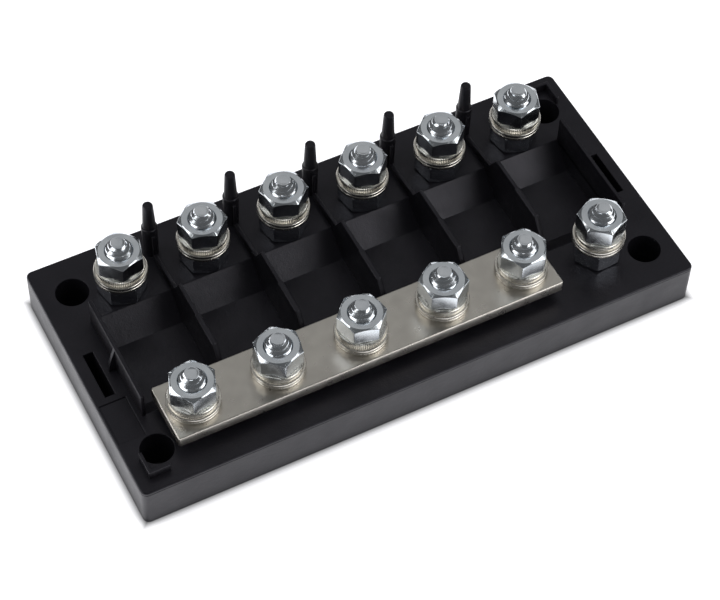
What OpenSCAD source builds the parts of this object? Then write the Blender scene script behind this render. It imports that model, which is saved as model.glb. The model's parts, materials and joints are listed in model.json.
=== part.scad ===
// Six-way bolt-down fuse holder with a common bus bar.
// Millimetres. The origin is the centre of the underside, +X runs along the stud rows,
// +Y from the bus bar side to the outgoing side and +Z up out of the base.

/* [Base] */
// Length of the moulded base
base_length = 181; // [150:1:220]
// Width of the moulded base
base_width = 86.6; // [70:0.2:110]
// Height of the deck above the underside
base_height = 15.2; // [12:0.2:25]
// Radius of the base's vertical corners
corner_radius = 2; // [0.5:0.5:6]
// Diameter of the four mounting holes
mount_hole_diameter = 10; // [5:0.5:12]
// Distance between the mounting holes along X
mount_spacing_x = 161; // [140:1:200]
// Distance between the mounting holes along Y
mount_spacing_y = 61.2; // [40:0.2:80]

/* [Terminals] */
// Number of fuse ways
ways = 6; // [2:1:8]
// Distance from one way to the next
pitch = 26.6; // [22:0.1:32]
// Distance between the two stud rows
row_spacing = 51; // [40:0.2:60]
// Diameter of the threaded studs
stud_diameter = 7.9; // [4.9:0.1:10]
// Height of the stud ends above the deck
stud_top = 22; // [16:0.5:30]
// Thread pitch of the studs
thread_pitch = 1.25; // [0.8:0.05:1.5]
// Distance across the flats of all nuts and bolt heads
across_flats = 13; // [8:0.5:17]
// Height of the spacer nut under the washers
spacer_nut_height = 7.5; // [3:0.5:10]
// Height of the terminal nut
nut_height = 6.5; // [3:0.5:8]
// Diameter of the flat washers
washer_diameter = 16; // [12:0.5:20]
// Thickness of one flat washer
washer_thickness = 1.2; // [0.6:0.1:2.5]
// Diameter of the split lock washers
lock_washer_diameter = 14.8; // [12:0.2:16]
// Thickness of one split lock washer
lock_washer_thickness = 2; // [1:0.1:3]

/* [Bus bar] */
// Thickness of the bus bar
bar_thickness = 4; // [2:0.5:6]
// Width of the bus bar
bar_width = 19.5; // [14:0.5:26]
// Distance from the first and last studs to the bar's ends
bar_overhang = 9; // [6:0.2:14]

/* [Bays] */
// Height of the partitions above the deck
partition_height = 9.4; // [4:0.2:20]
// Depth of the fuse bays below the deck
bay_depth = 6.9; // [2:0.1:9]
// Height of the cover pegs above the deck
peg_height = 22; // [10:0.5:30]

/* [Hidden] */
$fn = 96;
eps = 0.01;
deck = base_height;
half_x = base_length / 2;
half_y = base_width / 2;
row_y = row_spacing / 2;
partition_count = ways - 1;
wall_inner = ways * pitch / 2 - 1.2;
wall_outer = wall_inner + 1.15;
hex_radius = across_flats / 2 / cos(30);
nut_bore = stud_diameter + 0.1;
thin_nut_height = spacer_nut_height - bar_thickness;
washer_z = deck + spacer_nut_height;
lock_z = washer_z + 2 * washer_thickness;
nut_z = lock_z + lock_washer_thickness;
head_height = 5.3;
head_z = 0.8;
end_height = 0.9;
end_diameter = 4.2;

// Angle of each terminal nut about its stud, as tightened by hand
back_turn = [15, -18.5, -19.5, -16, -17, 11.5];
front_turn = [8.5, 21.5, -14, -25.5, -1, 25];

function way_x(i) = (i - (ways - 1) / 2) * pitch;
function gap_x(i) = (i - (partition_count - 1) / 2) * pitch;

module at_ways(y, first, last) {
  for (i = [first : last])
    translate([way_x(i), y, 0])
      children();
}

// Plate with rounded vertical corners, made of boxes and cylinders.
module rounded_plate(length, width, height, radius) {
  translate([-length / 2 + radius, -width / 2, 0])
    cube([length - 2 * radius, width, height]);
  translate([-length / 2, -width / 2 + radius, 0])
    cube([length, width - 2 * radius, height]);
  for (sx = [-1, 1])
    for (sy = [-1, 1])
      translate([sx * (length / 2 - radius), sy * (width / 2 - radius), 0])
        cylinder(r = radius, h = height);
}

// Solid whose outline is given in Y and Z and whose thickness lies along X.
module profile_yz(points, thickness) {
  translate([-thickness / 2, 0, 0])
    rotate([90, 0, 90])
      linear_extrude(thickness)
        polygon(points);
}

// Long trough that the partitions divide into the fuse bays.
module trough() {
  profile_yz([[-18.7, 0], [-10.9, -bay_depth], [10.9, -bay_depth], [18.7, 0],
              [18.7, 5], [-18.7, 5]], 2 * wall_inner);
}

// Partition between two bays: thick front half, thin rear half and a low tail.
module partition() {
  top = partition_height;
  profile_yz([[0.8, -bay_depth - 1], [0.8, top], [12.7, top], [16.3, 3.6],
              [19, 3.3], [19, -1], [10.9, -bay_depth - 1]], 1.2);
  profile_yz([[-18.9, -1], [-18, 0], [-11.1, top], [0.8, top],
              [0.8, -bay_depth - 1], [-10.9, -bay_depth - 1]], 1.7);
  profile_yz([[19, -1], [19, 3.3], [31.4, 1.9], [31.4, -1]], 1.1);
}

// Tapered peg with a collar, carried by a thin rib on its bay side.
module peg() {
  translate([0, 0, -1])
    cylinder(d1 = 4.5, d2 = 5, h = 12.6);
  translate([0, 0, 11.6])
    cylinder(d1 = 5, d2 = 4.2, h = 0.6);
  translate([0, 0, 12.2])
    cylinder(d1 = 4, d2 = 3, h = peg_height - 12.2);
  translate([-0.5, -3.1, -1])
    cube([1, 3.1, 10.9]);
}

// Curved buttress against the outside of an end wall.
module buttress() {
  rotate([90, 0, 0])
    translate([0, 0, -0.6])
      linear_extrude(1.2)
        polygon([[-0.5, -1], [-0.5, 9.4], [0, 9.4], [0.95, 7.2], [1.85, 2.9], [2.35, 0],
                 [2.35, -1]]);
}

// L-shaped corner rib standing on the deck.
module corner_rib() {
  translate([0, 0, -1])
    cube([6.7, 1, 4]);
  translate([0, 0, -1])
    cube([1, 7.5, 4]);
}

module base() {
  color([0.06, 0.06, 0.065]) {
    difference() {
      rounded_plate(base_length, base_width, deck, corner_radius);
      translate([0, 0, deck])
        trough();
      for (sx = [-1, 1])
        for (sy = [-1, 1])
          translate([sx * mount_spacing_x / 2, sy * mount_spacing_y / 2, -1])
            cylinder(d = mount_hole_diameter, h = deck + 2);
      for (sx = [-1, 1])
        translate([sx * 85.1 - 1.5, -8.15, -1])
          cube([3, 16.3, deck + 2]);
      translate([-89.5, -24.5, deck - 0.4])
        cube([8.2, 14.1, 2]);
      for (y = [-row_y, row_y])
        at_ways(y, 0, ways - 1) {
          translate([0, 0, -1])
            cylinder(d = stud_diameter + 0.3, h = deck + 2);
          translate([0, 0, -1])
            rotate(30)
              cylinder(r = hex_radius + 0.15, h = head_z + head_height + 1, $fn = 6);
        }
      at_ways(0, 0, ways - 1)
        translate([-7.5, -8.5, -1])
          cube([15, 17, 5.5]);
    }
    for (i = [0 : partition_count - 1])
      translate([gap_x(i), 0, deck])
        partition();
    for (i = [0 : partition_count - 1])
      translate([gap_x(i), 34.4, deck])
        peg();
    for (sx = [-1, 1])
      scale([sx, 1, 1])
        translate([wall_inner, -18.8, deck - 1])
          cube([wall_outer - wall_inner, 37.6, partition_height + 1.1]);
    for (a = [0, 180])
      rotate(a)
        translate([wall_outer, 0, deck])
          buttress();
    for (a = [0, 180])
      rotate(a)
        translate([-86.5, -39, deck])
          corner_rib();
  }
}

module bus_bar() {
  color([0.72, 0.70, 0.66])
    difference() {
      translate([way_x(0) - bar_overhang, -row_y - bar_width / 2, deck + thin_nut_height])
        cube([way_x(ways - 2) - way_x(0) + 2 * bar_overhang, bar_width, bar_thickness]);
      at_ways(-row_y, 0, ways - 2)
        translate([0, 0, deck])
          cylinder(d = 8.5, h = 20);
    }
}

// Captive bolt: hexagonal head in the underside pocket, shank up through the deck.
module stud_bolt() {
  translate([0, 0, head_z])
    rotate(30)
      cylinder(r = hex_radius, h = head_height, $fn = 6);
  translate([0, 0, head_z + head_height - eps])
    cylinder(d = stud_diameter, h = deck + stud_top - end_height - head_z - head_height + eps);
  translate([0, 0, deck + stud_top - end_height])
    cylinder(d1 = stud_diameter, d2 = end_diameter, h = end_height);
}

module studs_back() {
  color([0.75, 0.77, 0.80])
    at_ways(row_y, 0, ways - 1)
      stud_bolt();
}

module studs_front() {
  color([0.75, 0.77, 0.80])
    at_ways(-row_y, 0, ways - 1)
      stud_bolt();
}

// Hexagonal nut with a bore, its corners chamfered at both ends.
module hex_nut(height) {
  difference() {
    intersection() {
      cylinder(r = hex_radius, h = height, $fn = 6);
      union() {
        cylinder(r1 = across_flats / 2 - 0.1, r2 = hex_radius + 0.05, h = 0.65);
        translate([0, 0, 0.65])
          cylinder(r = hex_radius + 0.05, h = height - 1.3);
        translate([0, 0, height - 0.65])
          cylinder(r1 = hex_radius + 0.05, r2 = across_flats / 2 - 0.1, h = 0.65);
      }
    }
    translate([0, 0, -1])
      cylinder(d = nut_bore, h = height + 2);
  }
}

module spacer_nuts() {
  color([0.75, 0.77, 0.80]) {
    at_ways(row_y, 0, ways - 1)
      translate([0, 0, deck])
        rotate(-19)
          hex_nut(spacer_nut_height);
    at_ways(-row_y, ways - 1, ways - 1)
      translate([0, 0, deck])
        rotate(2.5)
          hex_nut(spacer_nut_height);
  }
}

module bar_nuts() {
  color([0.75, 0.77, 0.80])
    at_ways(-row_y, 0, ways - 2)
      translate([0, 0, deck])
        rotate(30)
          hex_nut(thin_nut_height);
}

module flat_washer(z) {
  translate([0, 0, z])
    difference() {
      cylinder(d = washer_diameter, h = washer_thickness);
      translate([0, 0, -1])
        cylinder(d = 8.4, h = washer_thickness + 2);
    }
}

module flat_washers_lower_back() {
  color([0.72, 0.70, 0.66])
    at_ways(row_y, 0, ways - 1)
      flat_washer(washer_z);
}

module flat_washers_upper_back() {
  color([0.72, 0.70, 0.66])
    at_ways(row_y, 0, ways - 1)
      flat_washer(washer_z + washer_thickness);
}

module flat_washers_lower_front() {
  color([0.72, 0.70, 0.66])
    at_ways(-row_y, 0, ways - 1)
      flat_washer(washer_z);
}

module flat_washers_upper_front() {
  color([0.72, 0.70, 0.66])
    at_ways(-row_y, 0, ways - 1)
      flat_washer(washer_z + washer_thickness);
}

// Split spring washer of way i, at row height y, drawn flat as it is when tightened.
module lock_washer(i, y, split) {
  color([0.66, 0.66, 0.67])
    translate([way_x(i), y, lock_z])
      difference() {
        cylinder(d = lock_washer_diameter, h = lock_washer_thickness);
        translate([0, 0, -1])
          cylinder(d = 8.2, h = lock_washer_thickness + 2);
        rotate(split)
          translate([2, -0.4, -1])
            cube([8, 0.8, lock_washer_thickness + 2]);
      }
}

// Terminal nut of way i.
module terminal_nut(i, y, turn) {
  color([0.80, 0.82, 0.85])
    translate([way_x(i), y, nut_z])
      rotate(turn)
        hex_nut(nut_height);
}

base();
bus_bar();
studs_back();
studs_front();
spacer_nuts();
bar_nuts();
flat_washers_lower_back();
flat_washers_upper_back();
flat_washers_lower_front();
flat_washers_upper_front();
lock_washer(0, row_y, 100);  // lock_washer_back_1
lock_washer(1, row_y, 60);  // lock_washer_back_2
lock_washer(2, row_y, -30);  // lock_washer_back_3
lock_washer(3, row_y, 130);  // lock_washer_back_4
lock_washer(4, row_y, 80);  // lock_washer_back_5
lock_washer(5, row_y, 50);  // lock_washer_back_6
lock_washer(0, -row_y, 75);  // lock_washer_front_1
lock_washer(1, -row_y, 110);  // lock_washer_front_2
lock_washer(2, -row_y, 40);  // lock_washer_front_3
lock_washer(3, -row_y, 90);  // lock_washer_front_4
lock_washer(4, -row_y, 65);  // lock_washer_front_5
lock_washer(5, -row_y, 120);  // lock_washer_front_6
terminal_nut(0, row_y, back_turn[0]);  // nut_back_1
terminal_nut(1, row_y, back_turn[1]);  // nut_back_2
terminal_nut(2, row_y, back_turn[2]);  // nut_back_3
terminal_nut(3, row_y, back_turn[3]);  // nut_back_4
terminal_nut(4, row_y, back_turn[4]);  // nut_back_5
terminal_nut(5, row_y, back_turn[5]);  // nut_back_6
terminal_nut(0, -row_y, front_turn[0]);  // nut_front_1
terminal_nut(1, -row_y, front_turn[1]);  // nut_front_2
terminal_nut(2, -row_y, front_turn[2]);  // nut_front_3
terminal_nut(3, -row_y, front_turn[3]);  // nut_front_4
terminal_nut(4, -row_y, front_turn[4]);  // nut_front_5
terminal_nut(5, -row_y, front_turn[5]);  // nut_front_6
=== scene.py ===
"""Looks of a six-way bolt-down fuse holder: base, plated bus bar, threaded studs, nuts and washers."""

import json
import math

import bmesh
import bpy
from mathutils import Matrix, Vector

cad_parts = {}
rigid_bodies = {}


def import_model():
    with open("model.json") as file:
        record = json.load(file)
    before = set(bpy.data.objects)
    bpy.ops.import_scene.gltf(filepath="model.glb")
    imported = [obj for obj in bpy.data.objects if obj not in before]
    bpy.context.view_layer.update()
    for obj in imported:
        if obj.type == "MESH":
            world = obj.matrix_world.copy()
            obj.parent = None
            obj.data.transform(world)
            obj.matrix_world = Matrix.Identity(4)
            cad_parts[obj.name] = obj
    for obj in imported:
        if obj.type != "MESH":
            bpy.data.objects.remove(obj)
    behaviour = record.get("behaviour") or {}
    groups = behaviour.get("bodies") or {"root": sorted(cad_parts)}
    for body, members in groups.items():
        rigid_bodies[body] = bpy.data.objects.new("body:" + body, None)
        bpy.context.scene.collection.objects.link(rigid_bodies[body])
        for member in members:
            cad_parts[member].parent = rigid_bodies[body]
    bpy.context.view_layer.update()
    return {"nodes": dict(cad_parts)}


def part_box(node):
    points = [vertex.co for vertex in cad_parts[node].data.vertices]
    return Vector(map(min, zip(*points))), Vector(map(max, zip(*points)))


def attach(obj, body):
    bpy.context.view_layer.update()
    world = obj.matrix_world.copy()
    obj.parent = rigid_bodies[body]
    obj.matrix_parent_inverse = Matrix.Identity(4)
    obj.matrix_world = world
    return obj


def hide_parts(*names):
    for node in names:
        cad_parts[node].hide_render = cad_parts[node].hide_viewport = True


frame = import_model()

MM = 0.001
ROWS = ("back", "front")
WAYS = (1, 2, 3, 4, 5, 6)


# ---------------------------------------------------------------- places taken from the frame


def centre(node):
    """Middle of a CAD node's box."""
    low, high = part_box(node)
    return (low + high) / 2


def corner_angle(node):
    """Direction of one corner of a CAD nut about the nut's own axis."""
    middle = centre(node)
    corner = max(frame["nodes"][node].data.vertices, key=lambda v: (v.co.xy - middle.xy).length)
    return math.atan2(corner.co.y - middle.y, corner.co.x - middle.x)


BASE_LOW, BASE_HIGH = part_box("base")
BAR_LOW, BAR_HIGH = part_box("bus_bar")
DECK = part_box("spacer_nuts")[0].z
WASHER_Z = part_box("flat_washers_lower_back")[0].z
WASHER_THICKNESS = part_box("flat_washers_upper_back")[0].z - WASHER_Z
LOCK_Z, NUT_Z = (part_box(f"{kind}_back_1")[0].z for kind in ("lock_washer", "nut"))
NUT_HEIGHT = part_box("nut_back_1")[1].z - NUT_Z
STUD_LOW, STUD_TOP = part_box("studs_back")[0].z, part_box("studs_back")[1].z
WAY_X = [centre(f"nut_back_{way}").x for way in WAYS]
ROW_Y = centre("nut_back_1").y
PITCH = WAY_X[1] - WAY_X[0]
HALF_X, HALF_Y = BASE_HIGH.x, BASE_HIGH.y

# Sizes that the solids share, in metres.
ACROSS_FLATS = 13 * MM
HEAD_HEIGHT = 5.3 * MM
STUD_RADIUS = 3.95 * MM
THREAD_PITCH = 1.25 * MM
THREAD_DEPTH = 0.66 * MM
END_RADIUS = 2.15 * MM
END_TAPER = 0.64  # growth of the stud's radius for each unit below its end
RIDGE_GROWTH = 0.9  # growth of the thread's depth for each unit below the end
NUT_SINK = 0.32 * MM
CHAMFER_SLOPE = math.tan(math.radians(30))
NUT_BORE = 4.0 * MM
WASHER_RADIUS = 8 * MM
LOCK_RADIUS = 7.4 * MM
BAY_DEPTH = 6.9 * MM
PARTITION_HEIGHT = 9.4 * MM
WALL_INNER = WAY_X[-1] + PITCH / 2 - 1.2 * MM
WALL_OUTER = WALL_INNER + 1.15 * MM
BAY_MOUTH, BAY_FLOOR = 18.7 * MM, 10.9 * MM  # half widths of the bays along Y
HOLE_X, HOLE_Y, HOLE_RADIUS = 80.5 * MM, 30.6 * MM, 5 * MM
SLOT_X, SLOT_HALF_X, SLOT_HALF_Y = 85.1 * MM, 1.5 * MM, 8.15 * MM
PANEL_LOW, PANEL_HIGH = (-89.5 * MM, -24.5 * MM), (-81.3 * MM, -10.4 * MM)
HEAD_POCKET_RADIUS = 7.66 * MM
CORE_HALF_X, CORE_HALF_Y, CORE_TOP = 7.5 * MM, 8.5 * MM, 4.5 * MM
STUD_GAP = 0.15 * MM
PEG_Y = 34.4 * MM
PARTITION_X = [(a + b) / 2 for a, b in zip(WAY_X, WAY_X[1:])]

# Angle of each lock washer's split, in degrees, and which of them have a ribbed rim.
SPLITS = {"back": (100, 60, -30, 130, 80, 50), "front": (75, 110, 40, 90, 65, 120)}
RIBBED = {"back": WAYS, "front": (3,)}
# Turn of each stud about its axis, in degrees: it sets where the threads start.
STUD_TURNS = {"back": (0, 70, 150, 220, 300, 35), "front": (110, 200, 20, 260, 330, 80)}
# Angles of the lower nuts, in degrees: under the bus bar, and on the free studs of each row.
BAR_NUT_TURN = 30
SPACER_TURNS = {"back": -19, "front": 2.5}
# Painted light: strength of the glow painted into the paper round the base, and the stronger glow painted to
# the left of the base.
FLOOR_PAINTED_LIGHT = 0.5
LEFT_PAINTED_LIGHT = 1.25


# ---------------------------------------------------------------- mesh helpers


def set_sharp(bm, angle=28):
    """Smooth faces with sharp edges where the surface turns by more than the angle. Large flats stay flat."""
    limit = math.radians(angle)
    for face in bm.faces:
        face.smooth = len(face.verts) <= 4
    for edge in bm.edges:
        edge.smooth = len(edge.link_faces) == 2 and edge.calc_face_angle(0) < limit


def to_object(name, bm, angle=28):
    bmesh.ops.remove_doubles(bm, verts=bm.verts, dist=1e-7)
    bmesh.ops.recalc_face_normals(bm, faces=bm.faces)
    set_sharp(bm, angle)
    mesh = bpy.data.meshes.new(name)
    bm.to_mesh(mesh)
    bm.free()
    obj = bpy.data.objects.new(name, mesh)
    bpy.context.scene.collection.objects.link(obj)
    return obj


def loft(bm, rings, closed=True):
    """Joins equal rings of points by quads. Returns the rings as vertices."""
    made = [[bm.verts.new(p) for p in ring] for ring in rings]
    count = len(made[0])
    spans = range(count) if closed else range(count - 1)
    for below, above in zip(made, made[1:]):
        for i in spans:
            j = (i + 1) % count
            bm.faces.new((below[i], below[j], above[j], above[i]))
    return made


def prism(bm, outline, axis, low, high, round_edges=0.0, segments=2):
    """Solid from an outline given in the two other axes, extruded along axis 'X', 'Y' or 'Z'."""
    order = {"X": lambda u, v, w: (w, u, v),
             "Y": lambda u, v, w: (u, w, v),
             "Z": lambda u, v, w: (u, v, w)}[axis]
    part = bmesh.new()
    ends = loft(part, [[order(u, v, w) for u, v in outline] for w in (low, high)])
    part.faces.new(ends[0])
    part.faces.new(ends[1])
    bmesh.ops.recalc_face_normals(part, faces=part.faces)
    if round_edges:
        edges = [e for e in part.edges if e.calc_face_angle(0) > math.radians(20)]
        bmesh.ops.bevel(part, geom=edges, offset=round_edges, segments=segments, profile=0.5,
                        affect="EDGES", clamp_overlap=True)
    append(bm, part)


def append(bm, part):
    """Adds a bmesh to another one."""
    mesh = bpy.data.meshes.new("part")
    part.to_mesh(mesh)
    part.free()
    bm.from_mesh(mesh)
    bpy.data.meshes.remove(mesh)


def turned(bm, profile, x=0.0, y=0.0, steps=64):
    """Solid of revolution about a vertical axis from (radius, z) points. Radius 0 closes an end."""
    part = bmesh.new()
    angles = [math.tau * i / steps for i in range(steps)]
    loft(part, [[(x + r * math.cos(a), y + r * math.sin(a), z) for a in angles] for r, z in profile])
    bmesh.ops.remove_doubles(part, verts=part.verts, dist=1e-8)
    append(bm, part)


def rectangle(x0, y0, x1, y1):
    return [(x0, y0), (x1, y0), (x1, y1), (x0, y1)]


def rounded_rectangle(half_x, half_y, radius, steps=6):
    points = []
    for sx, sy, start in ((1, 1, 0), (-1, 1, 90), (-1, -1, 180), (1, -1, 270)):
        for i in range(steps + 1):
            a = math.radians(start + 90 * i / steps)
            points.append((sx * (half_x - radius) + radius * math.cos(a),
                           sy * (half_y - radius) + radius * math.sin(a)))
    return points


def rounded_plate(bm, half_x, half_y, corner, profile):
    """Plate whose edge follows (inset, z) points from its underside to its top."""
    rings = [[(x, y, z) for x, y in rounded_rectangle(half_x - inset, half_y - inset, corner - inset)]
             for inset, z in profile]
    made = loft(bm, rings)
    bm.faces.new(made[0])
    bm.faces.new(made[-1])


def edge_arc(radius, z, steps=4):
    """(inset, z) points of a quarter round at the top edge of a plate."""
    return [(radius * (1 - math.cos(math.radians(90 * i / steps))),
             z - radius + radius * math.sin(math.radians(90 * i / steps))) for i in range(steps + 1)]


def circle(x, y, radius, steps=48):
    return [(x + radius * math.cos(math.tau * i / steps), y + radius * math.sin(math.tau * i / steps))
            for i in range(steps)]


def cut(target, cutters):
    """Takes each cutter bmesh away from the target object."""
    group = bpy.data.collections.new("cutters")
    bpy.context.scene.collection.children.link(group)
    for number, part in enumerate(cutters):
        bmesh.ops.recalc_face_normals(part, faces=part.faces)
        mesh = bpy.data.meshes.new(f"cutter_{number}")
        part.to_mesh(mesh)
        part.free()
        group.objects.link(bpy.data.objects.new(f"cutter_{number}", mesh))
    modifier = target.modifiers.new("cut", "BOOLEAN")
    modifier.operation = "DIFFERENCE"
    modifier.operand_type = "COLLECTION"
    modifier.collection = group
    modifier.solver = "EXACT"
    shape = bpy.data.meshes.new_from_object(target.evaluated_get(bpy.context.evaluated_depsgraph_get()))
    target.modifiers.clear()
    target.data = shape
    for obj in list(group.objects):
        bpy.data.objects.remove(obj)
    bpy.data.collections.remove(group)


def cutter(outline, axis, low, high):
    part = bmesh.new()
    prism(part, outline, axis, low, high)
    return part


# ---------------------------------------------------------------- materials


class Nodes:
    """Small builder for a Principled material."""

    def __init__(self, name):
        self.material = bpy.data.materials.new(name)
        self.material.use_nodes = True
        self.tree = self.material.node_tree
        self.shader = self.tree.nodes["Principled BSDF"]
        coords = self.tree.nodes.new("ShaderNodeTexCoord")
        place = self.tree.nodes.new("ShaderNodeObjectInfo")
        shifted = self.tree.nodes.new("ShaderNodeVectorMath")
        self.tree.links.new(coords.outputs["Object"], shifted.inputs[0])
        self.tree.links.new(place.outputs["Location"], shifted.inputs[1])
        self.coords = shifted.outputs[0]

    def noise(self, scale, detail):
        """Noise over the object, its scale in cells per metre."""
        node = self.tree.nodes.new("ShaderNodeTexNoise")
        node.inputs["Scale"].default_value = scale
        node.inputs["Detail"].default_value = detail
        self.tree.links.new(self.coords, node.inputs["Vector"])
        return node.outputs["Fac"]

    def ramp(self, value, low, high, start=0.3, end=0.7):
        """Colours, or greys, from low to high as the value goes from start to end."""
        node = self.tree.nodes.new("ShaderNodeValToRGB")
        for element, place, shade in zip(node.color_ramp.elements, (start, end), (low, high)):
            element.position = place
            element.color = (shade, shade, shade, 1) if isinstance(shade, (int, float)) else (*shade, 1)
        self.tree.links.new(value, node.inputs["Fac"])
        return node.outputs["Color"]

    def colour(self, output):
        self.tree.links.new(output, self.shader.inputs["Base Color"])

    def roughness(self, output):
        self.tree.links.new(output, self.shader.inputs["Roughness"])

    def bump(self, *layers):
        """Bump layers of (height output, distance in metres), coarse first."""
        normal = None
        for height, distance in layers:
            node = self.tree.nodes.new("ShaderNodeBump")
            node.inputs["Strength"].default_value = 1.0
            node.inputs["Distance"].default_value = distance
            self.tree.links.new(height, node.inputs["Height"])
            if normal:
                self.tree.links.new(normal, node.inputs["Normal"])
            normal = node.outputs["Normal"]
        self.tree.links.new(normal, self.shader.inputs["Normal"])


def black_plastic():
    """Moulded thermoplastic with a fine spark-eroded grain."""
    m = Nodes("black_plastic")
    m.colour(m.ramp(m.noise(90, 4), (0.0042, 0.0040, 0.0054), (0.0068, 0.0064, 0.0084)))
    m.roughness(m.ramp(m.noise(140, 4), 0.34, 0.44))
    m.shader.inputs["Specular IOR Level"].default_value = 0.42
    m.shader.inputs["Specular Tint"].default_value = (0.93, 0.91, 1.0, 1)
    m.bump((m.noise(700, 2), 0.00004), (m.noise(2600, 2), 0.00004))
    return m.material


def metal(name, low, high, rough, wave=0.0):
    """Plated metal: a colour range, a roughness range and the depth of a slow wave in its surface."""
    m = Nodes(name)
    m.shader.inputs["Metallic"].default_value = 1.0
    m.colour(m.ramp(m.noise(160, 2), low, high))
    m.roughness(m.ramp(m.noise(260, 2), *rough))
    if wave:
        m.bump((m.noise(120, 1), wave))
    return m.material


PLASTIC = black_plastic()
ZINC = metal("bright_zinc", (0.68, 0.72, 0.76), (0.80, 0.84, 0.87), (0.16, 0.24), 0.00003)
STUD_ZINC = metal("stud_zinc", (0.70, 0.74, 0.78), (0.84, 0.87, 0.90), (0.14, 0.22))
BAR_PLATE = metal("plated_bar", (0.60, 0.57, 0.52), (0.68, 0.65, 0.59), (0.26, 0.34))
WASHER_PLATE = metal("plated_washer", (0.70, 0.67, 0.61), (0.80, 0.77, 0.71), (0.22, 0.30))
SPRING_STEEL = metal("spring_steel", (0.64, 0.62, 0.57), (0.76, 0.74, 0.68), (0.22, 0.30))


def finish_piece(obj, material, body, slot, *nodes):
    obj.data.materials.clear()
    obj.data.materials.append(material)
    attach(obj, body)
    if nodes:
        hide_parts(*nodes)
    return obj


# ---------------------------------------------------------------- base


def base_plate():
    """Plate with rounded corners, a rounded top edge and a fine line below it, before it is cut."""
    bm = bmesh.new()
    line = DECK - 1.15 * MM
    profile = [(0.4 * MM, BASE_LOW.z), (0, 0.4 * MM), (0, line), (0.14 * MM, line + 0.08 * MM),
               (0.14 * MM, line + 0.22 * MM), (0.02 * MM, line + 0.3 * MM)]
    profile += edge_arc(0.55 * MM, DECK)
    rounded_plate(bm, HALF_X, HALF_Y, 2 * MM, profile)
    return to_object("base_shell", bm)


def base_cutters():
    """Bays, holes, slots, the plain recessed panel and the pockets under the base."""
    over = DECK + 5 * MM
    trough = [(-BAY_MOUTH, DECK), (-BAY_FLOOR, DECK - BAY_DEPTH), (BAY_FLOOR, DECK - BAY_DEPTH),
              (BAY_MOUTH, DECK), (BAY_MOUTH, over), (-BAY_MOUTH, over)]
    parts = [cutter(trough, "X", -WALL_INNER, WALL_INNER)]
    for sx in (-1, 1):
        for sy in (-1, 1):
            parts.append(cutter(circle(sx * HOLE_X, sy * HOLE_Y, HOLE_RADIUS, 64), "Z", -MM, over))
        slot = rectangle(sx * SLOT_X - SLOT_HALF_X, -SLOT_HALF_Y, sx * SLOT_X + SLOT_HALF_X, SLOT_HALF_Y)
        parts.append(cutter(slot, "Z", -MM, over))
    parts.append(cutter(rectangle(*PANEL_LOW, *PANEL_HIGH), "Z", DECK - 0.4 * MM, over))
    for x in WAY_X:
        for y in (-ROW_Y, ROW_Y):
            parts.append(cutter(circle(x, y, STUD_RADIUS + STUD_GAP, 32), "Z", MM, over))
            pocket = [(x + HEAD_POCKET_RADIUS * math.cos(a), y + HEAD_POCKET_RADIUS * math.sin(a))
                      for a in (math.radians(30 + 60 * k) for k in range(6))]
            parts.append(cutter(pocket, "Z", -MM, STUD_LOW + HEAD_HEIGHT))
        core = rectangle(x - CORE_HALF_X, -CORE_HALF_Y, x + CORE_HALF_X, CORE_HALF_Y)
        parts.append(cutter(core, "Z", -MM, CORE_TOP))
    return parts


def round_cut_edges(obj):
    """Small round on the convex edges that the cutters left on the deck and the underside."""
    bm = bmesh.new()
    bm.from_mesh(obj.data)
    bmesh.ops.remove_doubles(bm, verts=bm.verts, dist=2e-6)
    bmesh.ops.dissolve_degenerate(bm, edges=bm.edges, dist=1e-6)
    inside_x, inside_y = HALF_X - 0.7 * MM, HALF_Y - 0.7 * MM

    def on_level(edge, z):
        return all(abs(v.co.z - z) < 1e-6 and abs(v.co.x) < inside_x and abs(v.co.y) < inside_y
                   for v in edge.verts)

    edges = [e for e in bm.edges if len(e.link_faces) == 2 and e.is_convex
             and e.calc_face_angle(0) > math.radians(25) and (on_level(e, DECK) or on_level(e, BASE_LOW.z))]
    bmesh.ops.bevel(bm, geom=edges, offset=0.18 * MM, segments=2, profile=0.5, affect="EDGES",
                    clamp_overlap=True)
    set_sharp(bm, 28)
    bm.to_mesh(obj.data)
    bm.free()


def add_partition(bm, x):
    """Partition between two bays: thin rear half with a low tail, thick front half."""
    floor = DECK - BAY_DEPTH - MM
    top = DECK + PARTITION_HEIGHT

    def mm(*points):
        return [(y * MM, DECK + z * MM) for y, z in points]

    rear = [(0.4 * MM, floor), (0.4 * MM, top)] + mm((12.7, 9.4), (16.3, 3.6), (18.9, 3.3), (18.9, -1))
    rear += [(BAY_FLOOR, floor)]
    prism(bm, rear, "X", x - 0.6 * MM, x + 0.6 * MM, 0.22 * MM)
    tail = mm((16, 3.45), (31.4, 1.9), (31.4, -1), (16, -1))
    prism(bm, tail, "X", x - 0.55 * MM, x + 0.55 * MM, 0.22 * MM)
    front = mm((-18.9, -1), (-18, 0), (-11.1, 9.4))
    front += [(0.8 * MM, top), (0.8 * MM, floor), (-BAY_FLOOR, floor)]
    prism(bm, front, "X", x - 0.85 * MM, x + 0.85 * MM, 0.3 * MM, 3)


def add_peg(bm, x):
    """Tapered cover peg on a collared post, with a thin rib on its bay side."""
    z = [DECK + h * MM for h in (-1, 11.75, 12.05, 12.2, 12.2, 12.5, 21.6, 21.9, 22, 21.85)]
    r = [2.25, 2.5, 2.42, 2.25, 2.12, 2.02, 1.58, 1.42, 1.2, 0.9]
    profile = [(0, z[0])] + [(radius * MM, height) for radius, height in zip(r, z)] + [(0, z[-1])]
    turned(bm, profile, x, PEG_Y, 40)
    prism(bm, rectangle(x - 0.5 * MM, PEG_Y - 3.1 * MM, x + 0.5 * MM, PEG_Y), "Z",
          DECK - MM, DECK + 9.9 * MM, 0.2 * MM)


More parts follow.
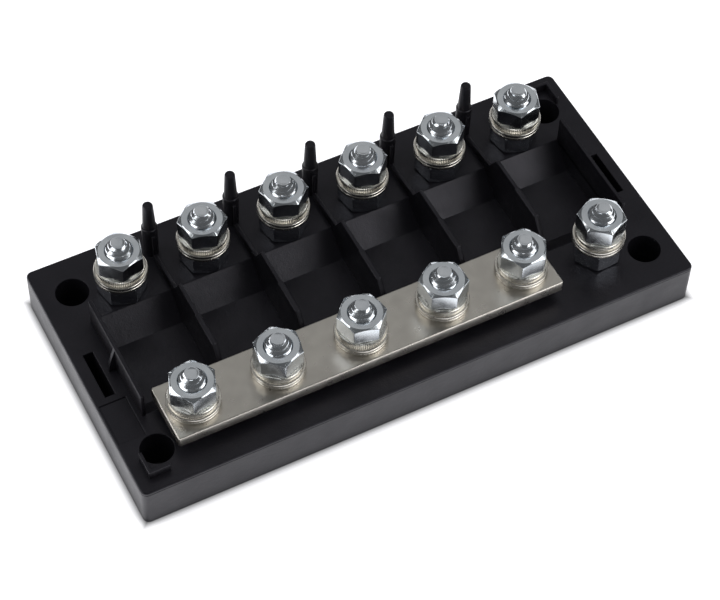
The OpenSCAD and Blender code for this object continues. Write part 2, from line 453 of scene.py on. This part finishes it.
def add_end_wall(bm, side):
    """Wall at one end of the bays with a curved buttress on its outside."""
    inner, outer = sorted((side * WALL_INNER, side * WALL_OUTER))
    prism(bm, rectangle(inner, -18.8 * MM, outer, 18.8 * MM), "Z", DECK - MM,
          DECK + PARTITION_HEIGHT + 0.1 * MM, 0.25 * MM)
    steps = 12
    curve = [(2.35 * (1 - t ** 1.6) + 0.02, 9.3 * t) for t in (i / steps for i in range(steps + 1))]
    outline = [(-0.5, -1), (2.35, -1)] + curve + [(-0.5, 9.3)]
    prism(bm, [(side * (WALL_OUTER + u * MM), DECK + v * MM) for u, v in outline], "Y",
          -0.6 * MM, 0.6 * MM, 0.15 * MM)


def add_corner_rib(bm, side):
    """L-shaped rib near one corner of the deck."""
    x, y = side * 86.5 * MM, side * 39 * MM
    outline = [(x, y), (x - side * 6.7 * MM, y), (x - side * 6.7 * MM, y - side * MM),
               (x - side * MM, y - side * MM), (x - side * MM, y - side * 7.5 * MM), (x, y - side * 7.5 * MM)]
    prism(bm, outline, "Z", DECK - MM, DECK + 3 * MM, 0.22 * MM)


def build_base():
    shell = base_plate()
    cut(shell, base_cutters())
    round_cut_edges(shell)
    finish_piece(shell, PLASTIC, "holder", "base_black", "base")
    bm = bmesh.new()
    for x in PARTITION_X:
        add_partition(bm, x)
        add_peg(bm, x)
    for side in (-1, 1):
        add_end_wall(bm, side)
        add_corner_rib(bm, side)
    ribs = to_object("base_ribs_and_pegs", bm)
    finish_piece(ribs, PLASTIC, "holder", "base_black", "base")


# ---------------------------------------------------------------- bus bar


def build_bus_bar():
    middle = (BAR_LOW + BAR_HIGH) / 2
    half = (BAR_HIGH - BAR_LOW) / 2
    bm = bmesh.new()
    profile = [(inset, -z) for inset, z in reversed(edge_arc(0.38 * MM, half.z))]
    rounded_plate(bm, half.x, half.y, 0.7 * MM, profile + edge_arc(0.38 * MM, half.z))
    bmesh.ops.translate(bm, verts=bm.verts, vec=middle)
    bar = to_object("bus_bar_plated", bm)
    cut(bar, [cutter(circle(x, -ROW_Y, 4.25 * MM), "Z", BAR_LOW.z - MM, BAR_HIGH.z + MM) for x in WAY_X[:5]])
    bm = bmesh.new()
    bm.from_mesh(bar.data)
    set_sharp(bm)
    bm.to_mesh(bar.data)
    bm.free()
    finish_piece(bar, BAR_PLATE, "holder", "bar_plated", "bus_bar")


# ---------------------------------------------------------------- fasteners


def hexagon(corner_radius, arc_steps=4, flat_steps=8):
    """Hexagon with rounded corners, its first corner towards +X."""
    points = []
    reach = (ACROSS_FLATS / 2 - corner_radius) / math.cos(math.radians(30))
    for k in range(6):
        corner = []
        for i in range(arc_steps + 1):
            a = math.radians(60 * k - 30 + 60 * i / arc_steps)
            corner.append(Vector((reach * math.cos(math.radians(60 * k)) + corner_radius * math.cos(a),
                                  reach * math.sin(math.radians(60 * k)) + corner_radius * math.sin(a))))
        if points:
            start = points[-1]
            points += [start.lerp(corner[0], i / flat_steps) for i in range(1, flat_steps)]
        points += corner
    points += [points[-1].lerp(points[0], i / flat_steps) for i in range(1, flat_steps)]
    return points


def hex_block(bm, low, high, bore):
    """Hexagonal nut, or a bolt head where bore is 0, with chamfered ends."""
    outline = hexagon(0.35 * MM)
    face_radius = 0.94 * ACROSS_FLATS / 2
    edge = 0.1 * MM

    def ring(radius, z):
        return [(p.x * radius / p.length, p.y * radius / p.length, z) for p in outline]

    def chamfered(inset, end, inward):
        """Outline ring on the chamfer cone, inset from the flats, or just under the cone where inset is 0."""
        made = []
        for p in outline:
            radius = p.length - inset
            drop = max(0.0, radius - face_radius) * CHAMFER_SLOPE + (0 if inset else edge)
            made.append((p.x * radius / p.length, p.y * radius / p.length, end + inward * drop))
        return made

    rings = [ring(face_radius, low), chamfered(edge, low, 1), chamfered(0, low, 1),
             chamfered(0, high, -1), chamfered(edge, high, -1), ring(face_radius, high)]
    if bore:
        mouth, depth = bore + NUT_SINK, 0.4 * MM
        rings = [ring(mouth, low)] + rings + [ring(mouth, high), ring(bore, high - depth),
                                              ring(bore, low + depth), ring(mouth, low)]
        loft(bm, rings)
    else:
        made = loft(bm, rings)
        bm.faces.new(made[0])
        bm.faces.new(made[-1])


def thread(bm, low, high, steps=56):
    """Helical thread between two heights. It tapers to a dished end at the top, its ridges getting lower."""
    shape = [(0.0, 0.0), (0.14, 0.0), (0.48, 1.0), (0.66, 1.0)]
    turns = int((high - low) / THREAD_PITCH) + 3
    rows = []
    for turn in range(-1, turns):
        for share, rise in shape:
            row = []
            for i in range(steps):
                z = low + THREAD_PITCH * (turn + share + i / steps)
                if z < low:
                    rise = 0.0
                z = min(max(z, low), high)
                crest = min(STUD_RADIUS, END_RADIUS + END_TAPER * (high - z))
                radius = crest - (1 - rise) * min(THREAD_DEPTH, RIDGE_GROWTH * (high - z))
                a = math.tau * i / steps
                row.append(bm.verts.new((radius * math.cos(a), radius * math.sin(a), z)))
            rows.append(row)
    count = len(shape)
    for lower, upper, lower_next, upper_next in zip(rows, rows[1:], rows[count:], rows[count + 1:]):
        for i in range(steps - 1):
            bm.faces.new((lower[i], lower[i + 1], upper[i + 1], upper[i]))
        bm.faces.new((lower[-1], lower_next[0], upper_next[0], upper[-1]))
    angles = [math.tau * i / steps for i in range(steps)]
    end = [(END_RADIUS, high), (END_RADIUS - 0.3 * MM, high), (END_RADIUS - 0.45 * MM, high - 0.05 * MM),
           (0.8 * MM, high - 0.08 * MM)]
    made = loft(bm, [[(r * math.cos(a), r * math.sin(a), z) for a in angles] for r, z in end])
    bm.faces.new(made[-1])


def stud_mesh():
    """Captive bolt with its axis at the origin and its real heights."""
    bm = bmesh.new()
    hex_block(bm, STUD_LOW, STUD_LOW + HEAD_HEIGHT, 0)
    thread(bm, STUD_LOW + HEAD_HEIGHT - 0.2 * MM, STUD_TOP)
    bmesh.ops.remove_doubles(bm, verts=bm.verts, dist=1e-6)
    bmesh.ops.dissolve_degenerate(bm, edges=bm.edges, dist=1e-6)
    return to_object("stud_pattern", bm, 25)


def washer_mesh(name, radius, bore, thickness, edge):
    """Flat washer on the origin, its rims rounded."""
    bm = bmesh.new()
    arc = [(edge * (1 - math.cos(a)), edge * (1 - math.sin(a))) for a in map(math.radians, (0, 30, 60, 90))]
    outside = [(radius - inset, down) for inset, down in reversed(arc)]
    outside += [(radius - inset, thickness - down) for inset, down in arc]
    inside = [(bore + inset, thickness - down) for inset, down in reversed(arc)]
    inside += [(bore + inset, down) for inset, down in arc]
    profile = outside + inside
    turned(bm, profile + profile[:1], steps=96)
    return to_object(name, bm)


def lock_washer_mesh(name, ribbed):
    """Split spring washer on the origin, its gap towards +X. A ribbed one has fine teeth round its rim."""
    bm = bmesh.new()
    bore, thickness, edge = 4.1 * MM, 2 * MM, 0.22 * MM
    half_gap = math.radians(4)
    steps = 168
    sections = []
    for i in range(steps + 1):
        a = half_gap + (math.tau - 2 * half_gap) * i / steps
        rim = LOCK_RADIUS - (0.16 * MM if ribbed and i % 2 else 0)
        section = [(bore, edge), (bore + edge, 0), (rim - edge, 0), (rim, edge), (rim, thickness - edge),
                   (rim - edge, thickness), (bore + edge, thickness), (bore, thickness - edge)]
        sections.append([(r * math.cos(a), r * math.sin(a), z) for r, z in section])
    made = loft(bm, sections)
    bm.faces.new(made[0])
    bm.faces.new(made[-1])
    return to_object(name, bm)


def nut_mesh(name, height):
    """Nut standing on the origin, a corner towards +X."""
    bm = bmesh.new()
    hex_block(bm, 0, height, NUT_BORE)
    return to_object(name, bm)


def place(pattern, name, location, angle, material, body, slot, *nodes):
    """One more piece with the pattern's mesh, turned about its own axis."""
    obj = bpy.data.objects.new(name, pattern.data)
    bpy.context.scene.collection.objects.link(obj)
    obj.matrix_world = Matrix.Translation(location) @ Matrix.Rotation(angle, 4, "Z")
    if not pattern.data.materials:
        pattern.data.materials.append(material)
    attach(obj, body)
    if nodes:
        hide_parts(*nodes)
    return obj


def build_fasteners():
    stud = stud_mesh()
    spacer = nut_mesh("spacer_pattern", WASHER_Z - DECK)
    bar_nut = nut_mesh("bar_nut_pattern", BAR_LOW.z - DECK)
    nut = nut_mesh("nut_pattern", NUT_HEIGHT)
    flat = washer_mesh("flat_washer_pattern", WASHER_RADIUS, 4.2 * MM, WASHER_THICKNESS, 0.26 * MM)
    plain = lock_washer_mesh("lock_washer_pattern", False)
    ribbed = lock_washer_mesh("ribbed_washer_pattern", True)
    for row in ROWS:
        y = ROW_Y if row == "back" else -ROW_Y
        for way, x, split, turn in zip(WAYS, WAY_X, SPLITS[row], STUD_TURNS[row]):
            tag = f"{row}_{way}"
            place(stud, f"stud_{tag}", (x, y, 0), math.radians(turn), STUD_ZINC, "holder", "stud_zinc",
                  f"studs_{row}")
            for level, z in (("lower", WASHER_Z), ("upper", WASHER_Z + WASHER_THICKNESS)):
                place(flat, f"flat_washer_{level}_{tag}", (x, y, z), math.radians(turn), WASHER_PLATE,
                      "holder", "washer_plated", f"flat_washers_{level}_{row}")
            place(ribbed if way in RIBBED[row] else plain, f"spring_washer_{tag}", (x, y, LOCK_Z),
                  math.radians(split), SPRING_STEEL, f"washer_{tag}", "lock_washer_steel",
                  f"lock_washer_{tag}")
            place(nut, f"terminal_nut_{tag}", (x, y, NUT_Z), corner_angle(f"nut_{tag}"), ZINC, f"nut_{tag}",
                  "nut_zinc", f"nut_{tag}")
            on_bar = row == "front" and way < 6
            place(bar_nut if on_bar else spacer, f"lower_nut_{tag}", (x, y, DECK),
                  math.radians(BAR_NUT_TURN if on_bar else SPACER_TURNS[row]), ZINC, "holder", "nut_zinc",
                  "bar_nuts" if on_bar else "spacer_nuts")
    for pattern in (stud, spacer, bar_nut, nut, flat, plain, ribbed):
        bpy.data.objects.remove(pattern)


# ---------------------------------------------------------------- floor, light and camera


def build_floor():
    """White paper with painted light and shade: it glows round the base and more to its left, has a painted
    shadow at the base's edges, and is painted dark under the base so that the holes stay black.
    """
    bm = bmesh.new()
    bmesh.ops.create_grid(bm, x_segments=1, y_segments=1, size=4)
    floor = to_object("floor", bm)
    material = bpy.data.materials.new("white_paper_painted_light")
    material.use_nodes = True
    tree = material.node_tree
    shader = tree.nodes["Principled BSDF"]
    shader.inputs["Roughness"].default_value = 0.9
    shader.inputs["Specular IOR Level"].default_value = 0.1

    def maths(operation, a, b):
        node = tree.nodes.new("ShaderNodeMath")
        node.operation = operation
        for socket, value in zip(node.inputs, (a, b)):
            if isinstance(value, (int, float)):
                socket.default_value = value
            else:
                tree.links.new(value, socket)
        return node.outputs[0]

    coords = tree.nodes.new("ShaderNodeTexCoord")
    split = tree.nodes.new("ShaderNodeSeparateXYZ")
    tree.links.new(coords.outputs["Object"], split.inputs[0])
    outside = maths("MAXIMUM", maths("SUBTRACT", maths("ABSOLUTE", split.outputs["X"], 0), HALF_X),
                    maths("SUBTRACT", maths("ABSOLUTE", split.outputs["Y"], 0), HALF_Y))
    # Painted shadow: the glow and the paper's colour fade out from 2.5 mm outside the base's outline to 1.5
    # mm under it, a painted contact shadow at its edges.
    edge = tree.nodes.new("ShaderNodeMapRange")
    edge.interpolation_type = "SMOOTHSTEP"
    edge.inputs["From Min"].default_value = -1.5 * MM
    edge.inputs["From Max"].default_value = 2.5 * MM
    tree.links.new(outside, edge.inputs["Value"])
    # Painted light: the paper's glow rises from the base's left edge to 15 mm further left, a painted pool of
    # light.
    left_painted_light = tree.nodes.new("ShaderNodeMapRange")
    left_painted_light.inputs["From Min"].default_value = -HALF_X
    left_painted_light.inputs["From Max"].default_value = -HALF_X - 15 * MM
    left_painted_light.inputs["To Min"].default_value = FLOOR_PAINTED_LIGHT
    left_painted_light.inputs["To Max"].default_value = LEFT_PAINTED_LIGHT
    tree.links.new(split.outputs["X"], left_painted_light.inputs["Value"])
    # Painted light: emission that makes the paper glow by itself round the base, stronger to its left.
    glow = maths("MULTIPLY", edge.outputs["Result"], left_painted_light.outputs["Result"])
    tree.links.new(glow, shader.inputs["Emission Strength"])
    shader.inputs["Emission Color"].default_value = (0.97, 0.97, 1.0, 1)
    # Painted shade: the paper is near black under the base, so that the holes read black, and white outside
    # it.
    paper = tree.nodes.new("ShaderNodeMix")
    paper.data_type = "RGBA"
    tree.links.new(edge.outputs["Result"], paper.inputs["Factor"])
    paper.inputs["A"].default_value = (0.02, 0.02, 0.02, 1)
    paper.inputs["B"].default_value = (0.93, 0.93, 0.94, 1)
    tree.links.new(paper.outputs["Result"], shader.inputs["Base Color"])
    floor.data.materials.append(material)


def area_light(name, direction, distance, size_x, size_y, radiance, in_reflections=True):
    """Soft box that faces the object, its brightness given as radiance."""
    light = bpy.data.lights.new(name, "AREA")
    light.shape = "RECTANGLE"
    light.size = size_x
    light.size_y = size_y
    light.energy = radiance * math.pi * size_x * size_y
    obj = bpy.data.objects.new(name, light)
    obj.location = Vector(direction).normalized() * distance
    obj.rotation_euler = (-Vector(direction)).to_track_quat("-Z", "Y").to_euler()
    obj.visible_glossy = in_reflections
    obj.visible_camera = False
    bpy.context.scene.collection.objects.link(obj)


def build_light():
    world = bpy.data.worlds.new("studio")
    world.use_nodes = True
    background = world.node_tree.nodes["Background"]
    background.inputs["Color"].default_value = (0.96, 0.98, 1.0, 1)
    background.inputs["Strength"].default_value = 0.10
    bpy.context.scene.world = world
    area_light("right_softbox", (0.6, -0.54, 0.6), 1.1, 0.9, 0.6, 2.1)
    area_light("left_softbox", (-0.95, 0.32, 0.87), 1.1, 0.8, 0.55, 2.0)
    area_light("front_strip", (0.42, -0.72, 0.55), 1.1, 0.8, 0.14, 2.2)
    area_light("back_softbox", (0.286, 0.519, 0.805), 1.2, 0.9, 0.9, 0.3)
    area_light("overhead_fill", (0, 0, 1), 1.6, 2.4, 2.4, 1.2, in_reflections=False)


def build_camera():
    """The viewing place and the aim point, both in the part's frame, and the roll about the view."""
    location = Vector((-199.15, -361.48, 545.31)) * MM + Vector((0, 0, DECK))
    aim = Vector((-5.33, -9.66, 0)) * MM + Vector((0, 0, DECK))
    roll = math.radians(2.07)
    forward = (aim - location).normalized()
    right = forward.cross(Vector((0, 0, 1))).normalized()
    up = right.cross(forward)
    turned_right = right * math.cos(roll) + up * math.sin(roll)
    turned_up = up * math.cos(roll) - right * math.sin(roll)
    data = bpy.data.cameras.new("camera")
    data.sensor_width = 36
    data.lens = 114.26
    data.clip_start = 0.02
    camera = bpy.data.objects.new("camera", data)
    camera.matrix_world = Matrix.Translation(location) @ Matrix(
        (turned_right, turned_up, -forward)).transposed().to_4x4()
    bpy.context.scene.collection.objects.link(camera)
    bpy.context.scene.camera = camera


build_base()
build_bus_bar()
build_fasteners()
build_floor()
build_light()
build_camera()
bpy.context.scene.view_settings.view_transform = "Standard"
